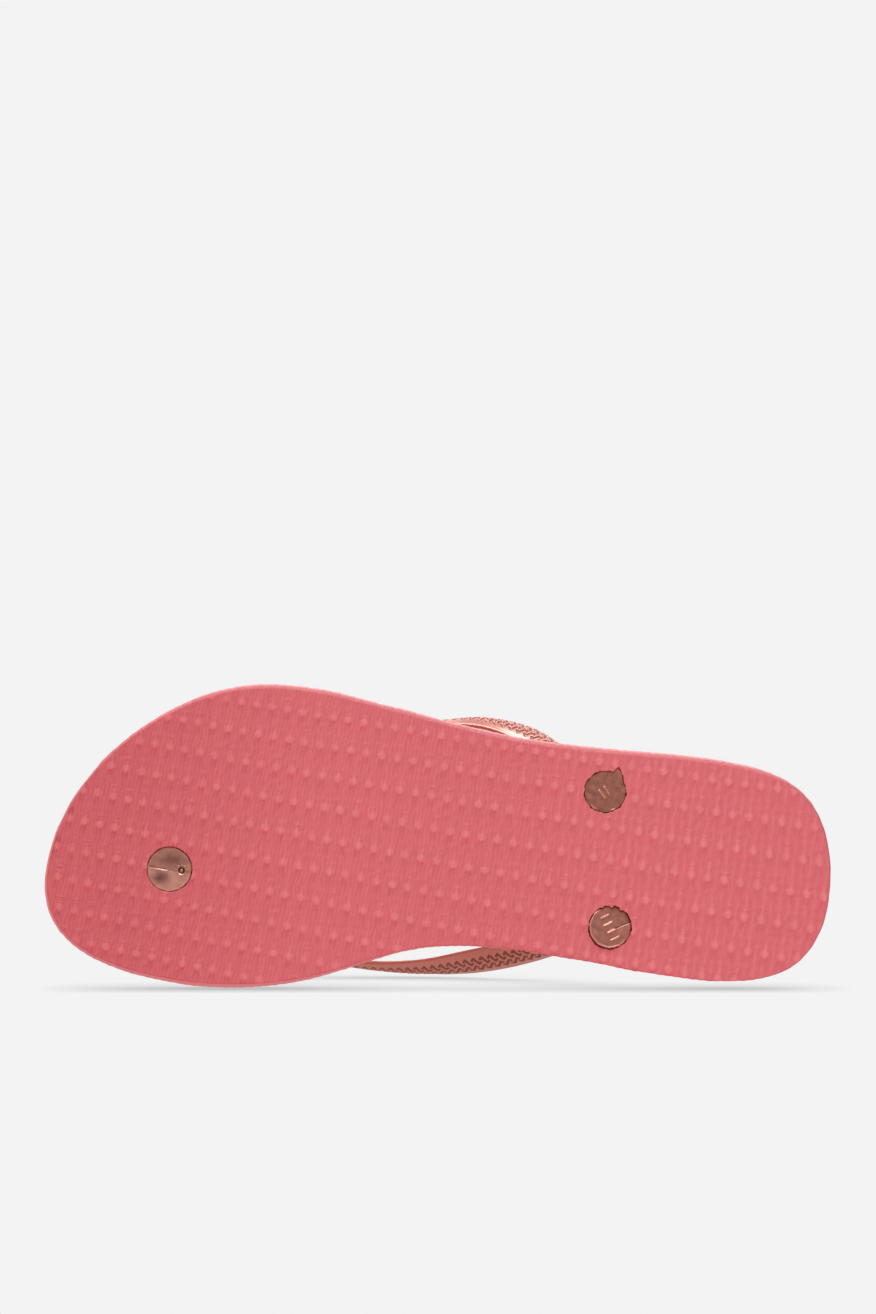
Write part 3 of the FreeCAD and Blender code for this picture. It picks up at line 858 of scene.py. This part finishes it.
def make_junction():
    """The toe post and the knuckle where the arms meet over it, melted into one smooth form."""
    post = lathe("strap_junction", PLUGS["toe_plug"], [
        (3.9, 0), (4.3, 0.35), (4.3, 1.0), (3.7, 1.9), (3.1, 4.5), (2.9, 8.5), (3.1, 11.5),
        (3.9, 14), (5.2, 16), (6.3, 17.4), (6.6, 18.2), (5.6, 19.1), (3.4, 19.6), (1.0, 19.7)])
    ends = [stub(1, LATERAL_ARM, (0.88, 1.0)), stub(-1, MEDIAL_ARM, (0.88, 1.0))]
    return melt([post, *ends], 0.42 * MM, 9)


def make_collar(name, plug, stations, side):
    """The collar at an arm's lower end, melted with the first stretch of the arm."""
    collar = lathe(name, PLUGS[plug], [
        (4.0, -0.1), (4.4, 0.2), (4.4, 0.7), (4.0, 1.4), (3.5, 2.2), (2.6, 2.9)])
    return melt([collar, stub(side, stations, (0.0, 0.10))], 0.4 * MM, 12)


# ---- materials


class Nodes:
    """Short ways to wire up one material."""

    def __init__(self, name):
        self.material = bpy.data.materials.new(name)
        self.material.use_nodes = True
        self.tree = self.material.node_tree
        self.shader = self.tree.nodes["Principled BSDF"]

    def add(self, kind, **settings):
        node = self.tree.nodes.new(kind)
        for key, value in settings.items():
            setattr(node, key, value)
        return node

    def link(self, source, target):
        self.tree.links.new(source, target)

    def attribute(self, name):
        return self.add("ShaderNodeAttribute", attribute_name=name).outputs["Fac"]

    def noise(self, size, detail=3.0, roughness=0.55, stretch=(1, 1, 1)):
        """Noise with lumps of about this size in metres, in the object's own coordinates."""
        mapping = self.add("ShaderNodeMapping")
        mapping.inputs["Scale"].default_value = stretch
        self.link(self.add("ShaderNodeTexCoord").outputs["Object"], mapping.inputs["Vector"])
        texture = self.add("ShaderNodeTexNoise")
        texture.inputs["Scale"].default_value = 1 / size
        texture.inputs["Detail"].default_value = detail
        texture.inputs["Roughness"].default_value = roughness
        self.link(mapping.outputs["Vector"], texture.inputs["Vector"])
        return texture.outputs["Fac"]

    def ramp(self, source, stops):
        """A colour ramp from (position, colour) pairs."""
        node = self.add("ShaderNodeValToRGB")
        bar = node.color_ramp.elements
        while len(bar) < len(stops):
            bar.new(0.5)
        for element, (position, colour) in zip(bar, stops):
            element.position = position
            element.color = (*colour, 1)
        self.link(source, node.inputs["Fac"])
        return node.outputs["Color"]

    def scaled(self, source, low, high):
        """The source's 0 to 1 stretched to run from low to high."""
        node = self.add("ShaderNodeMapRange")
        node.inputs["To Min"].default_value = low
        node.inputs["To Max"].default_value = high
        self.link(source, node.inputs["Value"])
        return node.outputs["Result"]

    def multiply(self, colour, factor):
        """A colour made darker or lighter by a varying factor."""
        node = self.add("ShaderNodeVectorMath", operation="SCALE")
        self.link(colour, node.inputs[0])
        self.link(factor, node.inputs["Scale"])
        return node.outputs["Vector"]

    def plus(self, first, second):
        node = self.add("ShaderNodeMath", operation="ADD")
        self.link(first, node.inputs[0])
        self.link(second, node.inputs[1])
        return node.outputs["Value"]

    def bump(self, height, distance, strength, normal=None):
        node = self.add("ShaderNodeBump")
        node.inputs["Distance"].default_value = distance
        node.inputs["Strength"].default_value = strength
        self.link(height, node.inputs["Height"])
        if normal is not None:
            self.link(normal, node.inputs["Normal"])
        return node.outputs["Normal"]

    def set(self, **values):
        """Constants go straight onto the shader's sockets and outputs are linked to them."""
        for key, value in values.items():
            socket = self.shader.inputs[key.replace("_", " ")]
            if hasattr(value, "is_output"):
                self.link(value, socket)
            else:
                socket.default_value = value
        return self.material


def srgb(red, green, blue):
    """A linear colour from 0 to 255 display values."""
    return tuple((c / 255 / 12.92) if c < 10 else ((c / 255 + 0.055) / 1.055) ** 2.4
                 for c in (red, green, blue))


def rubber(name, dark, middle_tone, light, grain):
    """Foamed coral rubber: matt, faintly mottled, paler where its painted value is high, on rubbed
    smooth places and as painted highlights on raised relief, and darker as painted shade in hollows
    and low places.
    """
    n = Nodes(name)
    polish_and_painted_light = n.attribute("polish_and_painted_light")
    colour = n.ramp(polish_and_painted_light, [(0.0, dark), (0.42, middle_tone), (1.0, light)])
    mottle = n.scaled(n.noise(9 * MM, 5, 0.6), 0.95, 1.05)
    specks = n.scaled(n.noise(0.7 * MM, 2, 0.5), 0.97, 1.03)
    colour = n.multiply(n.multiply(colour, mottle), specks)
    pores = n.bump(n.noise(0.35 * MM, 4, 0.6), 0.05 * MM, 0.6)
    skin = n.bump(n.noise(grain, 3, 0.5), 0.08 * MM, 0.5, pores)
    rough = n.scaled(n.noise(3 * MM, 3), 0.66, 0.86)
    return n.set(Base_Color=colour, Roughness=rough, Normal=skin, IOR=1.45)


def strap_vinyl():
    """Pearly rose gold vinyl: duller down in the moulded grooves, and darker there as painted shade.
    """
    n = Nodes("strap_vinyl")
    groove = n.attribute("groove")
    # Painted shade: the colour darkens down in the grooves.
    colour = n.ramp(groove, [(0.0, srgb(191, 108, 90)), (0.5, srgb(152, 78, 63)),
                             (1.0, srgb(128, 64, 52))])
    flow = n.scaled(n.noise(6 * MM, 4, 0.5, (1, 0.35, 1)), 0.94, 1.07)
    flake = n.scaled(n.noise(0.16 * MM, 2, 0.7), 0.9, 1.1)
    colour = n.multiply(n.multiply(colour, flow), flake)
    rough = n.plus(n.scaled(n.noise(2.5 * MM, 4), 0.36, 0.48), n.scaled(groove, 0.0, 0.15))
    dimples = n.bump(n.noise(0.5 * MM, 3, 0.6), 0.02 * MM, 0.5)
    return n.set(Base_Color=colour, Metallic=0.15, Roughness=rough, Normal=dimples,
                 Coat_Weight=0.3, Coat_Roughness=0.35)


def plug_vinyl(name, dark, light, roughness):
    """The same vinyl where it isn't metallised: brown, waxy and scuffed."""
    n = Nodes(name)
    # The shade attribute holds each head's tone, with its painted highlights and painted shade.
    colour = n.ramp(n.attribute("shade"), [(0.0, dark), (1.0, light)])
    swirl = n.scaled(n.noise(1.5 * MM, 5, 0.7, (1, 0.6, 1)), 0.85, 1.15)
    colour = n.multiply(colour, swirl)
    rough = n.scaled(n.noise(1.2 * MM, 4), roughness - 0.08, roughness + 0.12)
    scuffs = n.bump(n.noise(0.4 * MM, 4, 0.65), 0.03 * MM, 0.7)
    return n.set(Base_Color=colour, Metallic=0.25, Roughness=rough, Normal=scuffs)


def empty_tree(owner):
    """Clear the node tree of a material or world. Returns what adds a node and what links two."""
    owner.use_nodes = True
    owner.node_tree.nodes.clear()
    return owner.node_tree.nodes.new, owner.node_tree.links.new


def backdrop(name, reach, depth):
    """Pale paper that glows evenly, seen only from its front; an ambient occlusion node paints a soft
    shadow on it within reach of the object.
    """
    material = bpy.data.materials.new(name)
    new, link = empty_tree(material)
    # Painted shadow: ambient occlusion lowers the paper's glow near the object.
    shade = new("ShaderNodeAmbientOcclusion")
    shade.samples = 24
    shade.inputs["Distance"].default_value = reach
    tone = new("ShaderNodeMapRange")
    tone.inputs["To Min"].default_value = 1 - depth
    paper = new("ShaderNodeEmission")
    paper.inputs["Color"].default_value = PAPER
    choice = new("ShaderNodeMixShader")
    link(shade.outputs["AO"], tone.inputs["Value"])
    link(tone.outputs["Result"], paper.inputs["Strength"])
    link(new("ShaderNodeNewGeometry").outputs["Backfacing"], choice.inputs["Fac"])
    link(paper.outputs["Emission"], choice.inputs[1])
    link(new("ShaderNodeBsdfTransparent").outputs["BSDF"], choice.inputs[2])
    link(choice.outputs["Shader"], new("ShaderNodeOutputMaterial").inputs["Surface"])
    return material


# ---- the flip flop


def settle(piece, material, body, node):
    """Give a piece its material, and say what it rides on and stands for."""
    piece.data.materials.clear()
    piece.data.materials.append(material)
    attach(piece, body)
    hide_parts(node)


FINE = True
SOLE_RUBBER = rubber("coral_rubber", srgb(194, 72, 80), srgb(216, 95, 102), srgb(236, 123, 129),
                     1.5 * MM)
TOP_RUBBER = rubber("footbed_rubber", srgb(196, 82, 90), srgb(216, 104, 111), srgb(240, 140, 143),
                    2 * MM)
outsole = make_outsole((0.30 if FINE else 0.45) * MM, 220 if FINE else 150)
settle(outsole, SOLE_RUBBER, "sole", "outsole")
footbed = make_footbed((0.5 if FINE else 0.8) * MM, 190 if FINE else 110)
settle(footbed, TOP_RUBBER, "sole", "footbed")

VINYL = strap_vinyl()
for place, face, tilt, dark, light, roughness in (
    ("toe", 0.9, 0, (102, 50, 38), (211, 146, 126), 0.36),
    ("lateral", 0.6, 0, (90, 44, 32), (186, 110, 88), 0.5),
    ("medial", 0.3, 11, (96, 46, 34), (198, 122, 102), 0.42),
):
    vinyl = plug_vinyl(f"plug_vinyl_{place}", srgb(*dark), srgb(*light), roughness)
    plug = make_plug(f"{place}_plug", face * MM, math.radians(tilt))
    settle(plug, vinyl, "strap", f"{place}_plug")
    dress_stem(plug, VINYL)

RING_STEP = 0.25 if FINE else 0.4
for piece in (
    make_arm("strap_lateral_arm", 1, LATERAL_ARM, RING_STEP, 48 if FINE else 32),
    make_arm("strap_medial_arm", -1, MEDIAL_ARM, RING_STEP, 48 if FINE else 32),
    make_junction(),
    make_collar("strap_lateral_collar", "lateral_plug", LATERAL_ARM, 1),
    make_collar("strap_medial_collar", "medial_plug", MEDIAL_ARM, -1),
):
    settle(piece, VINYL, "strap", "strap")


# ---- stage, light and camera


# The sole stands on its medial edge in the picture, on ground that passes through this point.
FOOT = Vector((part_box("outsole")[0].x + 1.3 * MM, middle("footbed")[1], 0))
TURN = math.radians(2.65)       # the sole's axis leans this much in the picture
PITCH = math.radians(2.8)       # the camera looks down this much on the ground it stands on
DISTANCE = 2.2
PICTURE_HEIGHT = 0.4402         # metres of the subject's plane from the picture's bottom to its top

RIGHT = Vector((math.sin(TURN), math.cos(TURN), 0))
FLAT_UP = Vector((math.cos(TURN), -math.sin(TURN), 0))
BACK = FLAT_UP * math.sin(PITCH) - Vector((0, 0, 1)) * math.cos(PITCH)
UP = BACK.cross(RIGHT)
PAPER = (*srgb(243, 243, 243), 1)


def panel(name, corners, reach, depth):
    """A flat stage surface that neither shades nor tints the object."""
    mesh = bpy.data.meshes.new(name)
    mesh.from_pydata(corners, [], [tuple(range(len(corners)))])
    surface = bpy.data.objects.new(name, mesh)
    bpy.context.scene.collection.objects.link(surface)
    mesh.materials.append(backdrop(name + "_paper", reach, depth))
    for ray in ("shadow", "diffuse", "glossy", "transmission", "volume_scatter"):
        setattr(surface, "visible_" + ray, False)


def aim(obj, position, target):
    """Put a lamp somewhere, aimed at a point."""
    away = (position - target).normalized()
    side = FLAT_UP.cross(away) if abs(away.dot(FLAT_UP)) < 0.95 else RIGHT
    side = side.normalized()
    turn = Matrix((side, away.cross(side), away)).transposed()
    obj.matrix_world = Matrix.Translation(position) @ turn.to_4x4()


def lamp(name, kind, strength):
    data = bpy.data.lights.new(name, kind)
    data.energy = strength
    obj = bpy.data.objects.new(name, data)
    bpy.context.scene.collection.objects.link(obj)
    return obj


def sun(name, direction, strength, spread):
    """Light from one direction, spread over an angle in degrees, that shows in no reflection."""
    obj = lamp(name, "SUN", strength)
    obj.data.angle = math.radians(spread)
    obj.visible_glossy = False
    aim(obj, direction.normalized(), Vector((0, 0, 0)))


def softbox(name, position, width, height, strength):
    """A rectangular lamp, aimed at the object's middle, that only shows up in reflections."""
    obj = lamp(name, "AREA", strength)
    obj.data.shape = "RECTANGLE"
    obj.data.size, obj.data.size_y = width, height
    obj.visible_diffuse = False
    obj.visible_camera = False
    aim(obj, position, Vector((0, 0, 0.03)))


def main_camera():
    """Looks almost straight at the underside of the sole, with the toe to the left."""
    target = Vector((0.0629, -0.0035, 0))
    data = bpy.data.cameras.new("camera")
    data.sensor_fit = "VERTICAL"
    data.sensor_height = 36
    data.lens = 36 * DISTANCE / PICTURE_HEIGHT
    data.clip_start, data.clip_end = 0.05, 50
    camera = bpy.data.objects.new("camera", data)
    bpy.context.scene.collection.objects.link(camera)
    turn = Matrix((RIGHT, UP, BACK)).transposed()
    camera.matrix_world = Matrix.Translation(target + BACK * DISTANCE) @ turn.to_4x4()
    bpy.context.scene.camera = camera


def surroundings():
    """Even light from all round, and the pale paper colour behind everything."""
    world = bpy.data.worlds.new("studio")
    bpy.context.scene.world = world
    new, link = empty_tree(world)
    seen = new("ShaderNodeBackground")
    seen.inputs["Color"].default_value = PAPER
    glow = new("ShaderNodeBackground")
    glow.inputs["Color"].default_value = (1, 1, 1, 1)
    glow.inputs["Strength"].default_value = 0.55
    choice = new("ShaderNodeMixShader")
    link(new("ShaderNodeLightPath").outputs["Is Camera Ray"], choice.inputs["Fac"])
    link(glow.outputs["Background"], choice.inputs[1])
    link(seen.outputs["Background"], choice.inputs[2])
    link(choice.outputs["Shader"], new("ShaderNodeOutputWorld").inputs["Surface"])
    bpy.context.scene.view_settings.view_transform = "Standard"


sun("key", FLAT_UP * 0.8 + BACK * 0.75 - RIGHT * 0.3, 0.95, 30)
sun("front", BACK - FLAT_UP * 0.3, 0.5, 50)
sun("bounce", BACK * 0.22 - FLAT_UP - RIGHT * 0.2, 0.6, 40)
sun("rim", FLAT_UP + Vector((0, 0, 0.25)), 0.7, 25)
sun("high", Vector((0.35, -0.3, 1.0)), 0.9, 40)
softbox("top_strip", FLAT_UP * 0.9 + BACK * 0.45, 0.9, 0.5, 36)
softbox("back_strip", FLAT_UP * 0.8 + Vector((0, 0, 1.1)), 1.8, 1.3, 15)

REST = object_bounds()[0].z - 0.02 * MM   # the floor just clears the lowest plug head
panel("standing_ground", [
    FOOT + RIGHT * along + Vector((0, 0, depth))
    for along, depth in ((-0.145, -0.006), (0.15, -0.006), (0.15, 0.1), (-0.145, 0.1))
], 20 * MM, 0.42)
panel("floor", [(x, y, REST) for x, y in ((-3, -3), (3, -3), (3, 3), (-3, 3))], 60 * MM, 0.5)
main_camera()
surroundings()
